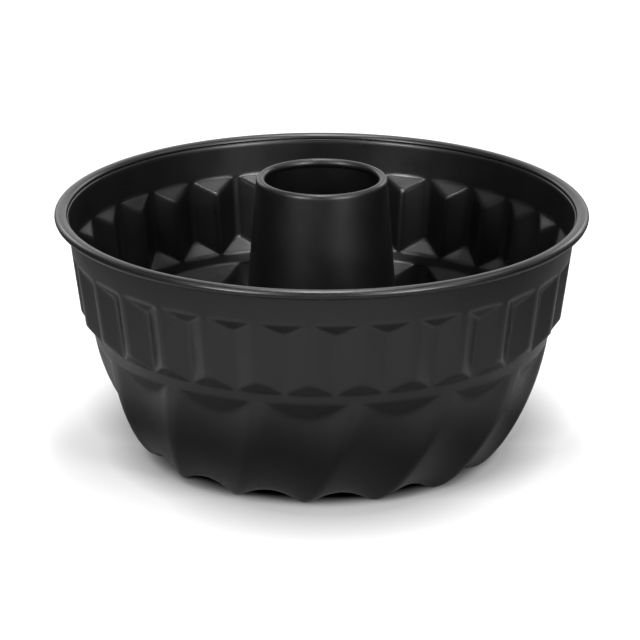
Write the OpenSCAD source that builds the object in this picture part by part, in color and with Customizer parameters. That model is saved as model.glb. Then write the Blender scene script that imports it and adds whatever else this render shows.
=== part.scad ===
// Fluted ring-cake pan: a pressed steel body with a wired rim, and a conical tube seamed into its floor.
// Millimetres. +Z is up, the feet stand on z = 0, the axis of the pan is the Z axis, the front is -Y.

/* [Overall] */
// Diameter over the rolled rim
rim_d = 220; // [200:1:260]
// Height of the pressed body, from the table to the top of the rim
body_h = 103.5; // [95:0.5:130]
// Height of the tube's lip above the top of the rim
tube_rise = 13.2; // [4:0.1:30]
// Thickness of the steel sheet
sheet_t = 0.6; // [0.4:0.05:0.9]

/* [Rim and band] */
// Radial width of the rolled bead
bead_w = 5.4; // [4.6:0.1:6.4]
// Height of the rolled bead
bead_h = 4; // [3.4:0.1:5.4]
// Radial room between the wire and the sheet rolled around it
wire_clear = 0.1; // [0.05:0.01:0.3]
// How far the bead stands out from the band below it
bead_reach = 5.4; // [4.4:0.1:6.4]
// Height of the rim and plain band, from the top of the rim to the band's lower edge
band_h = 16.4; // [13:0.1:24]
// Radial taper of the plain band
band_taper = 1.45; // [0.5:0.05:4]

/* [Upper flutes] */
// Number of scallops in the lower tier, with two upper flutes to each
lobes = 15; // [12:1:18]
// Turn of the pattern about the axis, in degrees from the front
pattern_turn = 9.3; // [-12:0.1:12]
// Depth of a flute at its upper end
flute_depth = 4; // [2:0.1:6]
// Height over which a flute's upper end closes to the band
flute_top_h = 5; // [3:0.1:9]
// Length of the ridge between two flutes
ridge_h = 26.6; // [18:0.1:32]
// Radial taper of that ridge
ridge_taper = 3.6; // [1:0.05:6]
// Width of the flat along each ridge
ridge_w = 3.2; // [1:0.1:4.5]
// Height over which the ridge closes to the ledge
ridge_foot_h = 5.2; // [3:0.1:9]
// Radial depth of that closing facet
ridge_foot_depth = 4.4; // [2:0.05:6]

/* [Ledge and scallops] */
// Height of the plain ledge between the tiers
ledge_h = 4.4; // [2:0.1:7]
// Radial taper of the ledge
ledge_taper = 1; // [0.2:0.1:3]
// Turn of the scallops against the flutes at the ledge, in degrees
ledge_turn = 0.7; // [0:0.1:3]
// Width of each lower ridge at the ledge, before it narrows
ledge_ridge_w = 6; // [4:0.1:9]
// Radial depth of the shelf over each scallop
shelf_depth = 4.8; // [3:0.1:7]
// Height of that shelf
shelf_h = 7.4; // [5:0.1:11]
// Diameter of the circle that the pan stands on
foot_d = 137; // [120:0.2:150]
// Radial length of the flat foot at the end of each ridge
foot_l = 6; // [4:0.1:8]
// Height of the arches between the feet
arch_h = 4.3; // [1.5:0.1:6]
// Turn of the scallops from top to bottom, in degrees
swirl = 15.2; // [0:0.1:24]

/* [Tube and seam] */
// Outer diameter of the tube at its lip
lip_d = 54.2; // [44:0.1:62]
// Diameter of the lip's inward roll
lip_bead_d = 3.6; // [3:0.1:5]
// Outer diameter of the tube's neck in the seam
neck_d = 70; // [64:0.5:80]
// Height of the floor's underside beside the tube
land_h = 9; // [8:0.1:13]
// Height of the floor's turned-down collar
collar_h = 5.2; // [4.2:0.1:6]
// Height of the hem's outer leg
hem_h = 3.6; // [2:0.1:3.8]
// Room between the collar and the hem folded around it
seam_clear = 0.1; // [0.06:0.01:0.2]

/* [Hidden] */
$fn = 96;

// How far the pressed part reaches up into the plain band, and how far it is set in there
lap_h = 1.2;
lap_inset = 0.1;
// Height of the band's lower edge above the crease that the flutes hang from
lap_gap = 0.15;
// Least height of the strips along the creases where facets close to a point
crease_h = 0.3;
lower_crease_h = 0.9;
// Radius of the bend between the floor and its collar, on the underside
bend_r = 0.6;
// Straight neck above the hem
neck_rise = 2;
// Gap left between the ends of the rim wire
wire_gap = 0.6;
// Where the rim's curl starts and ends, in degrees about the bead's centre, and the steps along it
curl_start = 180;
curl_end = -124;
curl_steps = 24;
// Where the lip's curl ends and where its gap to the wall ends, in degrees about the lip's centre
lip_curl_end = 305;
lip_gap_end = 350;
// Steps down a scallop
scallop_steps = 8;
// How the turn gathers pace on the way down
swirl_power = 1.2;
// Share of the way down by which a lower ridge has narrowed
narrow_share = 0.45;

// Control points of the ridge and the scallop, as shares of the way in and of the way down
ridge_shares = [[0.15, 0.5], [0.71, 1]];
scallop_shares = [[0.17, 0.5], [0.66, 1]];
// Columns between a ridge and the middle of its scallop, as shares of the pitch
column_share = 0.146;
// Rows across the floor, as shares of the way in from the foot and of the way up to the land
floor_shares = [[0.28, 0.16], [0.56, 0.58], [0.8, 0.92]];

rim_r = rim_d / 2;
bead_out = [bead_w / 2, bead_h / 2];
bead_in = bead_out - [sheet_t, sheet_t];
bead_at = [rim_r, body_h] - bead_out;
band_top_r = rim_r - bead_reach;
band_top_z = body_h - bead_h;
band_line_r = band_top_r - band_taper;
band_line_z = body_h - band_h;
apex_r = band_line_r - flute_depth;
apex_z = band_line_z - flute_top_h;
ridge_end_r = band_line_r - ridge_taper;
ridge_end_z = band_line_z - ridge_h;
ledge_top_r = ridge_end_r - ridge_foot_depth;
ledge_top_z = ridge_end_z - ridge_foot_h;
ledge_low_r = ledge_top_r - ledge_taper;
ledge_low_z = ledge_top_z - ledge_h;
scallop_r = ledge_low_r - shelf_depth;
scallop_z = ledge_low_z - shelf_h;
foot_r = foot_d / 2;
foot_in_r = foot_r - foot_l;

neck_r = neck_d / 2;
collar_in_r = neck_r + seam_clear;
collar_out_r = collar_in_r + sheet_t;
collar_low_z = land_h - collar_h;
hem_in_r = collar_out_r + seam_clear;
hem_mid_r = (neck_r + hem_in_r) / 2;
hem_bend_r = (hem_in_r - neck_r) / 2;
hem_z = collar_low_z - seam_clear;
lip_r = lip_d / 2;
lip_bead_r = lip_bead_d / 2;
tube_top_z = body_h + tube_rise;
lip_at = [lip_r - lip_bead_r, tube_top_z - lip_bead_r];
neck_top_z = land_h + sheet_t + neck_rise;

pitch = 360 / lobes;
flat_a = asin(ridge_w / 2 / band_line_r);
ledge_flat_a = asin(ledge_ridge_w / 2 / ledge_low_r);
column_a = [
    -flat_a, flat_a, column_share * pitch, pitch / 4, pitch / 2 - flat_a,
    pitch / 2 + flat_a, 3 * pitch / 4, pitch * (1 - column_share)
];
per_lobe = len(column_a);
columns = lobes * per_lobe;

function mix(a, b, t) = a + (b - a) * t;
function bezier(a, b, c, d, t) =
    a * pow(1 - t, 3) + b * 3 * t * pow(1 - t, 2) + c * 3 * t * t * (1 - t) + d * pow(t, 3);
function column_angle(c) = floor(c / per_lobe) * pitch + column_a[c % per_lobe];

// 1 on a ridge and 0 in a groove: straight facets above, a round scallop below
function wrap(a, span) = a - span * floor(a / span);
function flute_w(a) = min(1, abs(wrap(a, pitch / 2) - pitch / 4) / (pitch / 4 - flat_a));
function scallop_w(a, flat) = pow(min(1, abs(wrap(a, pitch) - pitch / 2) / (pitch / 2 - flat)), 2);

// A row holds a ridge point, a groove point, whether it lies in the lower tier, its turn, and the angle
// that half the flat of a lower ridge spans
band_slope = band_taper / (band_top_z - band_line_z);
lap_point = [band_line_r + band_slope * lap_h, band_line_z + lap_h];
line_point = [band_line_r, band_line_z];
ledge_top = [ledge_top_r, ledge_top_z];
ledge_low = [ledge_low_r, ledge_low_z];
upper_rows = [
    [lap_point, lap_point, false, 0, flat_a],
    [line_point, line_point, false, 0, flat_a],
    [line_point - [0, crease_h], [apex_r, apex_z], false, 0, flat_a],
    [[ridge_end_r, ridge_end_z], ledge_top + [0, crease_h], false, 0, flat_a],
    [ledge_top, ledge_top, false, 0, flat_a],
    [ledge_low, ledge_low, false, -ledge_turn, flat_a]
];

function bowl_point(top, low, shares, t) = bezier(
    top,
    [mix(top[0], low[0], shares[0][0]), mix(top[1], low[1], shares[0][1])],
    [mix(top[0], low[0], shares[1][0]), low[1]],
    low, t);
ridge_top = ledge_low - [0, lower_crease_h];
scallop_top = [scallop_r, scallop_z];
bowl_rows = [for (i = [0:scallop_steps]) let (t = i / scallop_steps) [
    bowl_point(ridge_top, [foot_r, 0], ridge_shares, t),
    bowl_point(scallop_top, [foot_r, arch_h], scallop_shares, t),
    true, -ledge_turn - swirl * pow(t, swirl_power),
    mix(ledge_flat_a, flat_a, min(1, t / narrow_share))
]];

foot_turn = -ledge_turn - swirl;
bend_at = [collar_out_r + bend_r, land_h - bend_r];
function floor_point(low_z, shares) = [
    mix(foot_in_r, bend_at[0], shares[0]), mix(low_z, land_h, shares[1])];
floor_rows = [
    [[foot_in_r, 0], [foot_in_r, arch_h], true, foot_turn, flat_a],
    for (s = floor_shares) [floor_point(0, s), floor_point(arch_h, s), true, foot_turn, flat_a],
    for (a = [90, 135, 180]) let (p = bend_at + bend_r * [cos(a), sin(a)]) [p, p, true, foot_turn, flat_a],
    [[collar_out_r, collar_low_z], [collar_out_r, collar_low_z], true, foot_turn, flat_a]
];

rows = concat(upper_rows, bowl_rows, floor_rows);

function surface_point(row, c) =
    let (
        a = column_angle(c),
        w = row[2] ? scallop_w(a, row[4]) : flute_w(a),
        p = mix(row[1], row[0], w),
        turn = a + pattern_turn + row[3] - 90
    ) [p[0] * cos(turn), p[0] * sin(turn), p[1]];
skin = [for (row = rows) [for (c = [0:columns - 1]) surface_point(row, c)]];

function unit(v) = v / norm(v);
function skin_normal(r, c) =
    let (
        down = skin[min(r + 1, len(rows) - 1)][c] - skin[max(r - 1, 0)][c],
        round = skin[r][(c + 1) % columns] - skin[r][(c + columns - 1) % columns]
    ) unit(cross(round, -down));

// The sheet's outer points and inner points, set in from both faces where they enter the band
function sheet_points(from_outer) = [for (r = [0:len(rows) - 1]) for (c = [0:columns - 1])
    let (inset = r < 2 ? lap_inset : 0, depth = from_outer ? inset : sheet_t - inset)
    skin[r][c] - depth * skin_normal(r, c)];

function quad(a, b, c, d) = [[a, b, c], [a, c, d]];
function at(layer, r, c) = (layer * len(rows) + r) * columns + c % columns;

module pressed_shell() {
    last = len(rows) - 1;
    faces = [
        for (r = [0:last - 1], c = [0:columns - 1]) each
            quad(at(0, r, c), at(0, r, c + 1), at(0, r + 1, c + 1), at(0, r + 1, c)),
        for (r = [0:last - 1], c = [0:columns - 1]) each
            quad(at(1, r, c), at(1, r + 1, c), at(1, r + 1, c + 1), at(1, r, c + 1)),
        for (c = [0:columns - 1]) each
            quad(at(0, 0, c), at(1, 0, c), at(1, 0, c + 1), at(0, 0, c + 1)),
        for (c = [0:columns - 1]) each
            quad(at(0, last, c), at(0, last, c + 1), at(1, last, c + 1), at(1, last, c))
    ];
    polyhedron(points = concat(sheet_points(true), sheet_points(false)), faces = faces);
}

// A ring section of sheet with the slice from one angle to another left open
module curl(outer_r, from_a, to_a) {
    reach = 2 * outer_r;
    difference() {
        circle(r = outer_r);
        circle(r = outer_r - sheet_t);
        polygon([
            [0, 0],
            reach * [cos(from_a), sin(from_a)],
            reach * [cos((from_a + to_a) / 2), sin((from_a + to_a) / 2)],
            reach * [cos(to_a), sin(to_a)]
        ]);
    }
}

function bead_point(half, share) =
    let (a = mix(curl_start, curl_end, share)) bead_at + [half[0] * cos(a), half[1] * sin(a)];

module band_and_bead() {
    edge_z = band_line_z + lap_gap;
    edge_r = band_line_r + band_slope * lap_gap;
    rotate_extrude() polygon([
        [edge_r - sheet_t, edge_z],
        [edge_r, edge_z],
        [band_top_r, band_top_z],
        for (i = [0:curl_steps]) bead_point(bead_in, i / curl_steps),
        for (i = [0:curl_steps]) bead_point(bead_out, 1 - i / curl_steps),
        [band_top_r - sheet_t, band_top_z]
    ]);
}

module pan_body() {
    color("#3a3a3c") union() {
        band_and_bead();
        pressed_shell();
    }
}

module centre_tube() {
    color("#333335") rotate_extrude() {
        // Wall: the neck in the seam and the cone above it, up to the lip
        polygon([
            [neck_r - sheet_t, hem_z],
            [neck_r, hem_z],
            [neck_r, neck_top_z],
            [lip_r, lip_at[1]],
            [lip_r - sheet_t, lip_at[1]],
            [neck_r - sheet_t, neck_top_z]
        ]);
        translate(lip_at) curl(lip_bead_r, lip_curl_end, lip_gap_end);
        // Hem: folded outwards and up around the floor's collar
        translate([hem_mid_r, hem_z]) difference() {
            circle(r = hem_bend_r + sheet_t);
            circle(r = hem_bend_r);
            translate([-2 * neck_r, 0]) square([4 * neck_r, neck_r]);
        }
        translate([hem_in_r, hem_z]) square([sheet_t, hem_h]);
    }
}

module rim_wire() {
    wire_r = bead_in[1] - wire_clear;
    open_a = asin(wire_gap / bead_at[0]);
    color("#b9bcc0") rotate([0, 0, 90]) rotate_extrude(angle = 360 - open_a)
        translate(bead_at) circle(r = wire_r);
}

pan_body();
centre_tube();
rim_wire();
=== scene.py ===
# A tall fluted ring-cake pan in non-stick coated steel, on a pale studio table.
import math

import bpy
import numpy as np
from mathutils import Matrix, Vector


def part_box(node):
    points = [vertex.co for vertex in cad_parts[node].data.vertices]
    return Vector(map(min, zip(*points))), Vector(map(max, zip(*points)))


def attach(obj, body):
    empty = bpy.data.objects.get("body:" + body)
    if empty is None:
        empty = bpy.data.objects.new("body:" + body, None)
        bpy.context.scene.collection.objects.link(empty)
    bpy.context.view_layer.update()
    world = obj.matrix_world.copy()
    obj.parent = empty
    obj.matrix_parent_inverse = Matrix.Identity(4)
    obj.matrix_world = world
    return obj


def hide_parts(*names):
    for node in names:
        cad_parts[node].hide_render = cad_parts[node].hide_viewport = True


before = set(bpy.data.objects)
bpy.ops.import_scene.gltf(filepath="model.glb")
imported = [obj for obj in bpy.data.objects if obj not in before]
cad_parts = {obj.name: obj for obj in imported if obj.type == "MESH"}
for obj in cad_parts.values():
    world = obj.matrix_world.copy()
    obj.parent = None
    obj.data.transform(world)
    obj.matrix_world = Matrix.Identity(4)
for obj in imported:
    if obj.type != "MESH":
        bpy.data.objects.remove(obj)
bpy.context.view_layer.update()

MM = 0.001

# What the frame gives: the pan stands on z = 0, its axis is the Z axis and its front is -Y
_, body_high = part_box("pan_body")
_, tube_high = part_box("centre_tube")
wire_low, wire_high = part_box("rim_wire")
RIM_R = body_high.x
BODY_H = body_high.z
WIRE_R = (wire_high.z - wire_low.z) / 2
BEAD_AT = (wire_high.x - WIRE_R, wire_high.z - WIRE_R)
BEAD_OUT = np.array([RIM_R, BODY_H]) - BEAD_AT
TUBE_TOP = tube_high.z
HEM_R = tube_high.x

# The sheet, its rim and its plain band. The points of the shoulder inside the rim are in mm, out from the
# band's top and up from the curl's middle
SHEET_T = 0.6 * MM
BEAD_REACH = 5.4 * MM
CURL_START = math.radians(168)
CURL_END = math.radians(-124)
CURL_STEPS = 26
SHOULDER = ((0.95, -0.25), (0.55, -0.4), (0.22, -0.62), (0.06, -0.9))
BAND_H = 16.4 * MM
BAND_TAPER = 1.45 * MM

# Upper tier of flat-faceted flutes, two to each scallop below
LOBES = 15
PITCH = 2 * math.pi / LOBES
PATTERN_TURN = math.radians(9.3)
FLUTE_DEPTH = 4 * MM
FLUTE_TOP_H = 5 * MM
RIDGE_H = 26.6 * MM
RIDGE_TAPER = 3.6 * MM
RIDGE_W = 3.2 * MM
GROOVE_W = 1.8 * MM
RIDGE_FOOT_H = 5.2 * MM
RIDGE_FOOT_DEPTH = 4.4 * MM
CREASE_H = 0.3 * MM
CREASE_SOFT = 0.9 * MM

# Ledge and the swirled scallops under it
LEDGE_H = 4.4 * MM
LEDGE_TAPER = 1.0 * MM
LEDGE_TURN = math.radians(-0.7)
SHELF_DEPTH = 4.8 * MM
SHELF_H = 7.4 * MM
SHELF_SHARES = (0.1, 0.5, 0.85)
SCALLOP_STEPS = 26
RIDGE_SHARES = ((0.15, 0.5), (0.71, 1))
SCALLOP_SHARES = ((0.17, 0.5), (0.66, 1))
RIDGE_ROUND_SHARE = 0.12
RIDGE_FLAT_SHARES = (0.15, 0.03)
FLAT_FADE = 0.45
SWIRL = math.radians(15.2)
SWIRL_POWER = 1.2
FOOT_R = 68.5 * MM
FOOT_L = 6 * MM
ARCH_H = 4.3 * MM

# Floor and its collar, and the tube hemmed round it. The floor's shares are of the way in and of the way up
LAND_H = 9 * MM
BEND_R = 0.6 * MM
BEND_STEPS = 4
SEAM_CLEAR = 0.1 * MM
COLLAR_H = 5.2 * MM
FLOOR_SHARES = ((0.14, 0.05), (0.28, 0.16), (0.42, 0.36), (0.56, 0.58), (0.68, 0.77), (0.8, 0.92))
HEM_H = 3.6 * MM
HEM_STEPS = 6
NECK_R = 35 * MM
NECK_RISE = 2 * MM
TUBE_SHARES = (0.01, 0.03, 0.25, 0.5, 0.75, 0.98, 1)
LIP_R = 27.1 * MM
LIP_BEAD_R = 1.8 * MM
LIP_CURL_END = math.radians(-55)
LIP_STEPS = 22
LATHE_STEPS = 180
WIRE_GAP = 0.6 * MM
WIRE_STEPS = 16

FLUTED, SCALLOPED = 0, 1

# Most of a noise's values lie between these
NOISE_LOW, NOISE_HIGH = 0.3, 0.7

# The studio's soft light in tiles: azimuth from the front towards +X and elevation in degrees, and watts.
# A tile's size goes with its elevation. The core is a narrow bright strip overhead
LIGHT_AWAY = 1.8
TILE_SIZES = {
    82: (0.4, 0.45), 68: (0.55, 0.42), 53: (0.6, 0.45), 38: (0.45, 0.42), 24: (0.45, 0.4), 11: (0.45, 0.38)}
TILES = (
    (180, 82, 4), (0, 82, 0.7),
    (180, 68, 6),
    (180, 53, 2.4), (-38, 53, 8.5), (38, 53, 12), (-75, 53, 3.6), (75, 53, 4.6), (110, 53, 4.2),
    (-110, 38, 0.7), (-145, 38, 0.6), (180, 38, 0.5), (80, 38, 0.3),
    (-38, 24, 26.3), (38, 24, 25.1), (54, 24, 3.4), (-54, 24, 0.7), (145, 24, 3.6), (-145, 24, 2.5),
    (110, 24, 0.9), (80, 24, 0.7), (-80, 24, 0.5),
    (0, 11, 2.3), (-22, 11, 3.2), (22, 11, 3.7), (-38, 11, 5.4), (38, 11, 7.8), (54, 11, 1.1),
    (-54, 11, 0.6),
)
CORE_AT = (180, 78.7)
CORE_SIZE = (0.2, 1.0)
CORE_WATTS = 16

# The backdrop glows behind the pan, where a direction's Y passes from the first number to the second
GLOW_FROM = (0.6, 0.85)
GLOW = (0.125, 1.25)

# The floor as the coat mirrors it, in shares of its white, with painted shade: dark in a ring under the
# overhang where the pan's shadow falls, towards the back, and far out, sooner at the sides
TABLE_HALF = 8.0
TABLE_WHITE = "#b4b4b4"
RING_R = 97 * MM
RING_FADE = 45 * MM
RING_SHARE = 0.32
FAR_STRETCH = (1.25, 1, 1)
FAR_FROM = (220 * MM, 360 * MM)
FAR_SHARE = 0.35
BACK_WAY = (0.3, 0.95, 0)
BACK_FROM = (-200 * MM, 50 * MM)
BACK_SHARE = 0.45

# The floor as the camera sees it: a painted contact shadow under the pan, a paler painted shade round it,
# and a painted glow that lifts it towards white, which starts further out behind the pan, before it and at
# its right
CONTACT_FROM = (61.5 * MM, 75.5 * MM)
CONTACT_SHARE = 0.7
SHADE_FROM = (80 * MM, 135 * MM)
SHADE_SHARE = 0.3
LIFT_FROM = (74.5 * MM, 95 * MM)
LIFT = 0.33
LIFT_BEHIND = 0.45
LIFT_BEFORE = 0.5
LIFT_BEFORE_AT = 66 * MM
LIFT_RIGHT = 0.04

# The photograph's camera, fitted to the pan's outline and corners. Its lens and sensor are in mm
CAMERA_AWAY = 1.864
CAMERA_RISE = math.radians(17.575)
CAMERA_AIM_Z = 100.65 * MM
CAMERA_PITCH = math.radians(18.92)
CAMERA_ROLL = math.radians(0.14)
CAMERA_LENS = 254.5
CAMERA_SENSOR = 36
CAMERA_CLIP = (0.1, 40)
PHOTO_PX = 640
PHOTO_SHIFT_PX = -1.43


def mix(a, b, t):
    return a + (b - a) * t


def mixed(first, last, shares):
    """Rows of numbers between two rows, at the given shares of the way."""
    return [mix(np.array(first), np.array(last), share) for share in shares]


def arc(centre, radius, start, end, steps):
    """Points (radius, height) along a round stretch of a section."""
    return [
        (centre[0] + radius * math.cos(a), centre[1] + radius * math.sin(a))
        for a in np.linspace(start, end, steps + 1)
    ]


def bezier(a, b, c, d, t):
    return a * (1 - t) ** 3 + 3 * b * t * (1 - t) ** 2 + 3 * c * t * t * (1 - t) + d * t**3


def row(ridge, groove, tier=FLUTED, turn=0.0, flat=0.0):
    """One level of the pressed sheet: its (radius, height) on a ridge and in a groove, its tier, its turn,
    and the share of the pitch that a lower ridge is flat for."""
    return (*ridge, *groove, tier, turn, flat)


def bowl_line(top, low, shares, t):
    """A point of the curve that a ridge or a scallop follows down to its foot."""
    (in_1, down_1), (in_2, down_2) = shares
    r = bezier(top[0], mix(top[0], low[0], in_1), mix(top[0], low[0], in_2), low[0], t)
    z = bezier(top[1], mix(top[1], low[1], down_1), mix(top[1], low[1], down_2), low[1], t)
    return r, z


def rim_rows():
    """The oval curl around the wire, from its free edge over the top, and the narrow shoulder inside it."""
    half_w, half_h = BEAD_OUT - SHEET_T
    curl = [
        (BEAD_AT[0] + half_w * math.cos(a), BEAD_AT[1] + half_h * math.sin(a))
        for a in np.linspace(CURL_END, CURL_START, CURL_STEPS + 1)
    ]
    shoulder = [(RIM_R - BEAD_REACH + out * MM, BEAD_AT[1] + up * MM) for out, up in SHOULDER]
    return [row(p, p) for p in [*curl, *shoulder]]


def flute_rows():
    """The plain band, the flutes and the ledge. Each level goes with the shares of the way down to the next
    level that rows are set at, and is a plain ring where its ridge and its groove are the same point."""
    band_top = (RIM_R - BEAD_REACH, BODY_H - 2 * BEAD_OUT[1])
    line = (band_top[0] - BAND_TAPER, BODY_H - BAND_H)
    apex = (line[0] - FLUTE_DEPTH, line[1] - FLUTE_TOP_H)
    ridge_end = (line[0] - RIDGE_TAPER, line[1] - RIDGE_H)
    ledge_top = (ridge_end[0] - RIDGE_FOOT_DEPTH, ridge_end[1] - RIDGE_FOOT_H)
    ledge_low = (ledge_top[0] - LEDGE_TAPER, ledge_top[1] - LEDGE_H)
    levels = [
        (row(band_top, band_top), (0, 0.1, 0.5, 0.94)),
        (row(line, line), (0, 0.1, 0.5, 0.9)),
        (row((line[0], line[1] - CREASE_H), apex), (0, 0.03, 0.25, 0.5, 0.75, 0.97)),
        (row(ridge_end, (ledge_top[0], ledge_top[1] + CREASE_H)), (0, 0.1, 0.5, 0.9)),
        (row(ledge_top, ledge_top), (0, 0.15, 0.85)),
        (row(ledge_low, ledge_low, turn=LEDGE_TURN), (0,)),
    ]
    rows = []
    for (level, shares), (below, _) in zip(levels, levels[1:]):
        rows += mixed(level, below, shares)
    return rows + [levels[-1][0]], ledge_low


def bowl_rows(ledge_low):
    """The shelf under the ledge and the scallops down to the feet, turning as they go."""
    shelf_top = (ledge_low[0], ledge_low[1] - CREASE_H)
    shelf_edge = (ledge_low[0] - SHELF_DEPTH, ledge_low[1] - SHELF_H)
    wide, slim = RIDGE_FLAT_SHARES
    first = row(shelf_top, shelf_edge, SCALLOPED, LEDGE_TURN, wide)
    start = row(ledge_low, ledge_low, SCALLOPED, LEDGE_TURN, wide)
    rows = mixed(start, first, SHELF_SHARES)
    for t in np.linspace(0, 1, SCALLOP_STEPS + 1):
        ridge = bowl_line(shelf_top, (FOOT_R, 0), RIDGE_SHARES, t)
        scallop = bowl_line(shelf_edge, (FOOT_R, ARCH_H), SCALLOP_SHARES, t)
        turn = LEDGE_TURN - SWIRL * t**SWIRL_POWER
        rows.append(row(ridge, scallop, SCALLOPED, turn, mix(wide, slim, min(1, t / FLAT_FADE))))
    return rows


def floor_rows():
    """From the feet in to the collar that the floor turns down round the tube."""
    collar_r = NECK_R + SEAM_CLEAR + SHEET_T
    bend_at = (collar_r + BEND_R, LAND_H - BEND_R)
    foot_in = FOOT_R - FOOT_L
    turn = LEDGE_TURN - SWIRL
    slim = RIDGE_FLAT_SHARES[1]
    rows = [row((foot_in, 0), (foot_in, ARCH_H), SCALLOPED, turn, slim)]
    for inward, up in FLOOR_SHARES:
        r = mix(foot_in, bend_at[0], inward)
        rows.append(row((r, mix(0, LAND_H, up)), (r, mix(ARCH_H, LAND_H, up)), SCALLOPED, turn, slim))
    bend = arc(bend_at, BEND_R, math.pi / 2, math.pi, BEND_STEPS)
    collar_low = (collar_r, LAND_H - COLLAR_H)
    return rows + [row(p, p, SCALLOPED, turn, slim) for p in [*bend, collar_low]]


def column_angles():
    """Angles round the pan, with three columns along each crease so that it comes out softly bent."""
    flat = RIDGE_W / 2 / (RIM_R - BEAD_REACH)
    soft = CREASE_SOFT / RIM_R
    half = PITCH / 4
    dip = half - GROOVE_W / 2 / (RIM_R - BEAD_REACH)
    side = mixed(flat + soft, dip - soft, (0, 0.25, 0.5, 0.75, 1))
    right = [flat - soft, flat, *side, dip, half]
    one = [-a for a in reversed(right[:-1])] + right
    return np.concatenate([np.array(one) + i * PITCH / 2 for i in range(2 * LOBES)])


def flute_share(angles):
    """1 on a flute's ridge and 0 in its groove, with flat facets between."""
    flat = RIDGE_W / 2 / (RIM_R - BEAD_REACH)
    dip = GROOVE_W / 2 / (RIM_R - BEAD_REACH)
    from_groove = np.abs(np.mod(angles, PITCH / 2) - PITCH / 4)
    return np.clip((from_groove - dip) / (PITCH / 4 - flat - dip), 0, 1)


def scallop_share(angles, flat):
    """1 on a lower ridge and 0 in the middle of a scallop, with a round hollow between."""
    from_middle = np.abs(np.mod(angles, PITCH) - PITCH / 2) / (PITCH / 2)
    drop = 1 - np.minimum(1, from_middle / (1 - flat))**2
    rounded = np.sqrt(drop**2 + RIDGE_ROUND_SHARE**2) - RIDGE_ROUND_SHARE
    return 1 - rounded / (math.sqrt(1 + RIDGE_ROUND_SHARE**2) - RIDGE_ROUND_SHARE)


def soften(points):
    """Averages each point with its neighbours, which rounds every crease as a press does."""
    across = (np.roll(points, 1, 1) + 4 * points + np.roll(points, -1, 1)) / 6
    softened = across.copy()
    softened[1:-1] = (across[:-2] + 4 * across[1:-1] + across[2:]) / 6
    return softened


def pressed_points(rows):
    """The outer face of the pressed sheet, as rows of points round the axis."""
    ridge_r, ridge_z, groove_r, groove_z, tier, row_turn, flat = np.array(rows).T[:, :, None]
    angles = column_angles()
    shares = np.where(tier == FLUTED, flute_share(angles), scallop_share(angles, flat))
    r = mix(groove_r, ridge_r, shares)
    z = mix(groove_z, ridge_z, shares)
    turn = angles + PATTERN_TURN + row_turn - math.pi / 2
    return np.stack([r * np.cos(turn), r * np.sin(turn), z], axis=2)


def lathed_points(section, steps, turn=2 * math.pi, start=0.0):
    """A section of (radius, height) points turned about the axis."""
    angles = start + turn * np.arange(steps) / steps
    r, z = np.array(section).T
    x, y = np.outer(r, np.cos(angles)), np.outer(r, np.sin(angles))
    return np.stack([x, y, np.outer(z, np.ones(steps))], axis=2)


def grid_piece(name, points, wrap_rows=False, wrap_columns=True):
    """A piece whose quads join rows of points. A rod, whose columns don't wrap, gets its ends closed."""
    rows, columns = points.shape[:2]
    index = np.arange(rows * columns).reshape(rows, columns)
    if wrap_rows:
        index = np.vstack([index, index[:1]])
    if wrap_columns:
        index = np.hstack([index, index[:, :1]])
    quads = np.stack([index[:-1, :-1], index[1:, :-1], index[1:, 1:], index[:-1, 1:]], axis=2)
    faces = quads.reshape(-1, 4).tolist()
    if not wrap_columns:
        faces += [index[-2::-1, 0].tolist(), index[:-1, -1].tolist()]
    mesh = bpy.data.meshes.new(name)
    mesh.from_pydata(points.reshape(-1, 3).tolist(), [], faces)
    mesh.shade_smooth()
    piece = bpy.data.objects.new(name, mesh)
    bpy.context.scene.collection.objects.link(piece)
    return piece


def thicken(piece):
    """Gives a surface the sheet's thickness, on the side away from its normals."""
    sheet = piece.modifiers.new("sheet", "SOLIDIFY")
    sheet.thickness = SHEET_T
    sheet.offset = -1
    sheet.use_even_offset = True
    sheet.use_quality_normals = True


def dress(piece, node, material):
    """Puts a piece in a CAD node's place, with its finish."""
    piece.data.materials.append(material)
    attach(piece, "root")
    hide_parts(node)


def make_pan_body(material):
    """The pressed sheet, from the curl's free edge over the rim, down to the feet and in to the collar."""
    upper, ledge_low = flute_rows()
    rows = rim_rows() + upper + bowl_rows(ledge_low) + floor_rows()
    piece = grid_piece("pressed_pan", soften(pressed_points(rows)))
    thicken(piece)
    dress(piece, "pan_body", material)


def make_centre_tube(material):
    """The outer face of the tube, from inside the lip's roll down to the hem's outer leg."""
    lip_at = (LIP_R - LIP_BEAD_R, TUBE_TOP - LIP_BEAD_R)
    hem_in = HEM_R - SHEET_T
    hem_z = LAND_H - COLLAR_H - SEAM_CLEAR
    hem_bend = (hem_in - NECK_R) / 2
    section = arc(lip_at, LIP_BEAD_R, LIP_CURL_END + 2 * math.pi, 0, LIP_STEPS)
    neck_top = (NECK_R, LAND_H + SHEET_T + NECK_RISE)
    section += [tuple(p) for p in mixed(section[-1], neck_top, TUBE_SHARES)]
    section += arc((NECK_R + hem_bend, hem_z), hem_bend, math.pi, 2 * math.pi, HEM_STEPS)
    section += [(hem_in, hem_z + HEM_H)]
    piece = grid_piece("conical_tube", lathed_points(section, LATHE_STEPS))
    thicken(piece)
    dress(piece, "centre_tube", material)


def make_rim_wire(material):
    """A round wire in the rim, with its butt gap at the back."""
    section = arc(BEAD_AT, WIRE_R, 0, -2 * math.pi, WIRE_STEPS)[:-1]
    turn = 2 * math.pi - WIRE_GAP / BEAD_AT[0]
    points = lathed_points(section, LATHE_STEPS, turn, math.pi / 2)
    piece = grid_piece("drawn_wire", points, wrap_rows=True, wrap_columns=False)
    dress(piece, "rim_wire", material)


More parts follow.
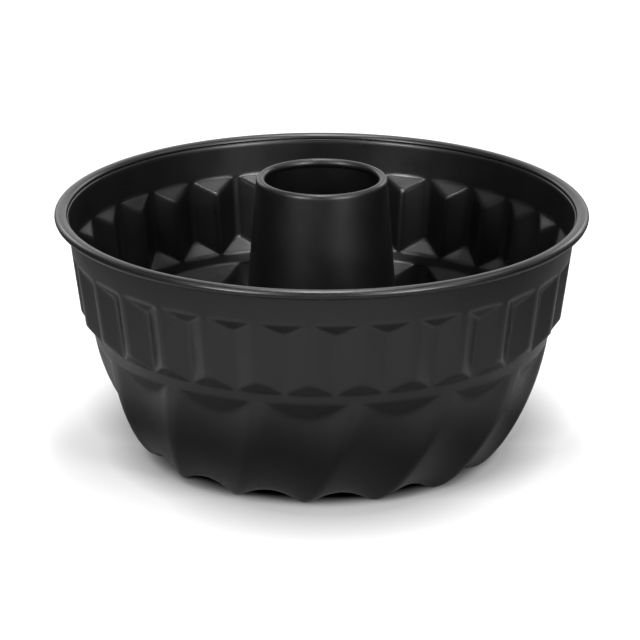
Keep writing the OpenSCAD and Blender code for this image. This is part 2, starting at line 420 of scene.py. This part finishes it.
def linear(hex_colour):
    """An sRGB hex colour as the linear colour that shaders take."""
    channels = [int(hex_colour[i:i + 2], 16) / 255 for i in (1, 3, 5)]
    return (*[c / 12.92 if c <= 0.04045 else ((c + 0.055) / 1.055) ** 2.4 for c in channels], 1)


def add_node(tree, kind, inputs=(), **settings):
    """Adds a node. Each input is (socket, value), where the value may be another node's output."""
    node = tree.nodes.new(kind)
    for name, value in settings.items():
        setattr(node, name, value)
    for socket, value in dict(inputs).items():
        if isinstance(value, bpy.types.NodeSocket):
            tree.links.new(value, node.inputs[socket])
        else:
            node.inputs[socket].default_value = value
    return node


def ramp(tree, value, start, end, low, high, kind="LINEAR"):
    """Goes from low to high while the value goes from start to end, and stays there past them."""
    return add_node(tree, "ShaderNodeMapRange", {
        "Value": value, "From Min": start, "From Max": end, "To Min": low, "To Max": high,
    }, interpolation_type=kind).outputs["Result"]


def maths(tree, operation, *values):
    """One step of arithmetic on numbers or on other nodes' outputs."""
    return add_node(tree, "ShaderNodeMath", dict(enumerate(values)), operation=operation).outputs[0]


def vector_maths(tree, operation, output, *values):
    """The same on vectors, with the name of the output that it gives."""
    node = add_node(tree, "ShaderNodeVectorMath", dict(enumerate(values)), operation=operation)
    return node.outputs[output]


def noise(tree, place, grain_mm, detail):
    """Noise with a grain of a real size."""
    return add_node(tree, "ShaderNodeTexNoise", {
        "Vector": place, "Scale": 1 / (grain_mm * MM), "Detail": detail}).outputs["Fac"]


def new_material(name):
    """A named material, its node tree emptied, and the place on the piece that its patterns follow."""
    material = bpy.data.materials.new(name)
    material.use_nodes = True
    tree = material.node_tree
    tree.nodes.clear()
    return material, tree, add_node(tree, "ShaderNodeTexCoord").outputs["Object"]


def finish_material(material, tree, shader):
    add_node(tree, "ShaderNodeOutputMaterial", {"Surface": shader.outputs["BSDF"]})
    return material


def sprayed_nonstick(name, roughness):
    """PTFE non-stick coat, sprayed on steel and cured: near black, with the soft low gloss of its low IOR
    and a fine grain. The real grain is about 0.1 mm, drawn at 0.7 mm to show. Its gloss drifts in clouds."""
    material, tree, place = new_material(name)
    grain = noise(tree, place, grain_mm=0.7, detail=2.0)
    cloud = noise(tree, place, grain_mm=14, detail=3.0)
    drift = 0.03
    gloss = ramp(tree, cloud, NOISE_LOW, NOISE_HIGH, roughness - drift, roughness + drift)
    base = add_node(tree, "ShaderNodeMix", {
        "Factor": grain, "A": linear("#020202"), "B": linear("#080808")}, data_type="RGBA")
    bump = add_node(tree, "ShaderNodeBump", {"Height": grain, "Strength": 0.12, "Distance": 0.05 * MM})
    shader = add_node(tree, "ShaderNodeBsdfPrincipled", {
        "Base Color": base.outputs["Result"], "Roughness": gloss, "Normal": bump.outputs["Normal"],
        "IOR": 1.38, "Metallic": 0.0})
    return finish_material(material, tree, shader)


def drawn_steel_wire():
    """Plain steel wire, drawn through a die: mid-grey metal whose gloss varies finely."""
    material, tree, place = new_material("drawn_steel_wire")
    gloss = ramp(tree, noise(tree, place, grain_mm=0.3, detail=1.0), 0, 1, 0.3, 0.5)
    shader = add_node(tree, "ShaderNodeBsdfPrincipled", {
        "Base Color": linear("#b4b6b9"), "Roughness": gloss, "Metallic": 1.0})
    return finish_material(material, tree, shader)


def mirrored_painted_shade(tree, place, reach):
    """How much of the floor's white the pan's coat mirrors: painted shade under the overhang, behind and far
    out.
    """
    from_ring = maths(tree, "ABSOLUTE", maths(tree, "SUBTRACT", reach, RING_R))
    near = ramp(tree, from_ring, 0.0, RING_FADE, RING_SHARE, 1.0)
    stretched = vector_maths(tree, "MULTIPLY", "Vector", place, FAR_STRETCH)
    far = ramp(tree, vector_maths(tree, "LENGTH", "Value", stretched), *FAR_FROM, 1.0, FAR_SHARE)
    depth = vector_maths(tree, "DOT_PRODUCT", "Value", place, BACK_WAY)
    front = ramp(tree, depth, *BACK_FROM, 1.0, BACK_SHARE)
    return maths(tree, "MULTIPLY", maths(tree, "MULTIPLY", near, front), far)


def seen_share(tree, reach):
    """How much of the floor's white the camera sees, with a painted contact shadow under the pan."""
    contact = ramp(tree, reach, *CONTACT_FROM, 0.0, CONTACT_SHARE, "SMOOTHSTEP")
    return maths(tree, "ADD", contact, ramp(tree, reach, *SHADE_FROM, 0.0, SHADE_SHARE))


def painted_glow(tree, place, reach):
    """A painted glow that lifts the floor towards white for the camera, away from the pan."""
    x, y, _ = add_node(tree, "ShaderNodeSeparateXYZ", {"Vector": place}).outputs
    behind = maths(tree, "MAXIMUM", y, 0.0)
    before = maths(tree, "MINIMUM", maths(tree, "ADD", y, LIFT_BEFORE_AT), 0.0)
    clear = maths(tree, "MULTIPLY_ADD", behind, -LIFT_BEHIND, reach)
    clear = maths(tree, "MULTIPLY_ADD", before, LIFT_BEFORE, clear)
    clear = maths(tree, "MULTIPLY_ADD", x, -LIFT_RIGHT, clear)
    return ramp(tree, clear, *LIFT_FROM, 0.0, LIFT)


def painted_table():
    """Matt white board under the pan, with painted shadow and glow: the soft ground of a photograph cut out
    on white.
    """
    material, tree, place = new_material("white_board_painted_shade")
    seen = add_node(tree, "ShaderNodeLightPath").outputs["Is Camera Ray"]
    reach = vector_maths(tree, "LENGTH", "Value", place)
    share = add_node(tree, "ShaderNodeMix", {
        "Factor": seen, "A": mirrored_painted_shade(tree, place, reach), "B": seen_share(tree, reach),
    }, data_type="FLOAT")
    colour = add_node(tree, "ShaderNodeMix", {
        "Factor": share.outputs["Result"], "A": linear("#000000"), "B": linear(TABLE_WHITE),
    }, data_type="RGBA")
    shader = add_node(tree, "ShaderNodeBsdfPrincipled", {
        "Base Color": colour.outputs["Result"], "Roughness": 0.9, "Specular IOR Level": 0.0,
        # The emission is a painted glow, seen by the camera only
        "Emission Color": (1, 1, 1, 1),
        "Emission Strength": maths(tree, "MULTIPLY", seen, painted_glow(tree, place, reach))})
    return finish_material(material, tree, shader)


def make_table():
    """A broad pale floor."""
    half = TABLE_HALF
    corners = [(-half, -half, 0), (half, -half, 0), (half, half, 0), (-half, half, 0)]
    mesh = bpy.data.meshes.new("table")
    mesh.from_pydata(corners, [], [(0, 1, 2, 3)])
    mesh.materials.append(painted_table())
    table = bpy.data.objects.new("table", mesh)
    bpy.context.scene.collection.objects.link(table)


def softbox(name, azimuth, elevation, size, watts):
    """A soft light aimed at the rim's middle, from an azimuth and an elevation in degrees."""
    a, e = math.radians(azimuth), math.radians(elevation)
    away = Vector((math.sin(a) * math.cos(e), -math.cos(a) * math.cos(e), math.sin(e)))
    data = bpy.data.lights.new(name, "AREA")
    data.shape = "RECTANGLE"
    data.size, data.size_y = size
    data.energy = watts
    light = bpy.data.objects.new(name, data)
    light.location = Vector((0, 0, BODY_H)) + away * LIGHT_AWAY
    light.rotation_euler = (-away).to_track_quat("-Z", "Y").to_euler()
    bpy.context.scene.collection.objects.link(light)


def make_lights():
    """The tiles of soft light round the pan, and the strip overhead."""
    for azimuth, elevation, watts in TILES:
        softbox(f"tile_{azimuth}_{elevation}", azimuth, elevation, TILE_SIZES[elevation], watts)
    softbox("core", *CORE_AT, CORE_SIZE, CORE_WATTS)


def make_backdrop():
    """A dim white room that is bright behind the pan."""
    world = bpy.data.worlds.new("studio")
    world.use_nodes = True
    tree = world.node_tree
    tree.nodes.clear()
    way = add_node(tree, "ShaderNodeTexCoord").outputs["Generated"]
    towards_back = add_node(tree, "ShaderNodeSeparateXYZ", {"Vector": way}).outputs["Y"]
    glow = ramp(tree, towards_back, *GLOW_FROM, *GLOW)
    light = add_node(tree, "ShaderNodeBackground", {"Color": (1, 1, 1, 1), "Strength": glow})
    add_node(tree, "ShaderNodeOutputWorld", {"Surface": light.outputs["Background"]})
    bpy.context.scene.world = world


def make_camera():
    """The photograph's camera: 1.86 m from the middle of the rim and 17.6 degrees above it."""
    data = bpy.data.cameras.new("camera")
    data.lens = CAMERA_LENS
    data.sensor_width = CAMERA_SENSOR
    data.clip_start, data.clip_end = CAMERA_CLIP
    data.shift_x = PHOTO_SHIFT_PX / PHOTO_PX
    camera = bpy.data.objects.new("camera", data)
    away, up = CAMERA_AWAY * math.cos(CAMERA_RISE), CAMERA_AWAY * math.sin(CAMERA_RISE)
    camera.location = (0, -away, CAMERA_AIM_Z + up)
    look = Matrix.Rotation(math.pi / 2 - CAMERA_PITCH, 3, "X") @ Matrix.Rotation(CAMERA_ROLL, 3, "Z")
    camera.rotation_euler = look.to_euler()
    bpy.context.scene.collection.objects.link(camera)
    bpy.context.scene.camera = camera


make_camera()
make_lights()
make_backdrop()
make_table()
make_pan_body(sprayed_nonstick("sprayed_nonstick_coat", roughness=0.3))
make_centre_tube(sprayed_nonstick("rougher_nonstick_coat", roughness=0.36))
make_rim_wire(drawn_steel_wire())
bpy.context.scene.view_settings.view_transform = "Standard"
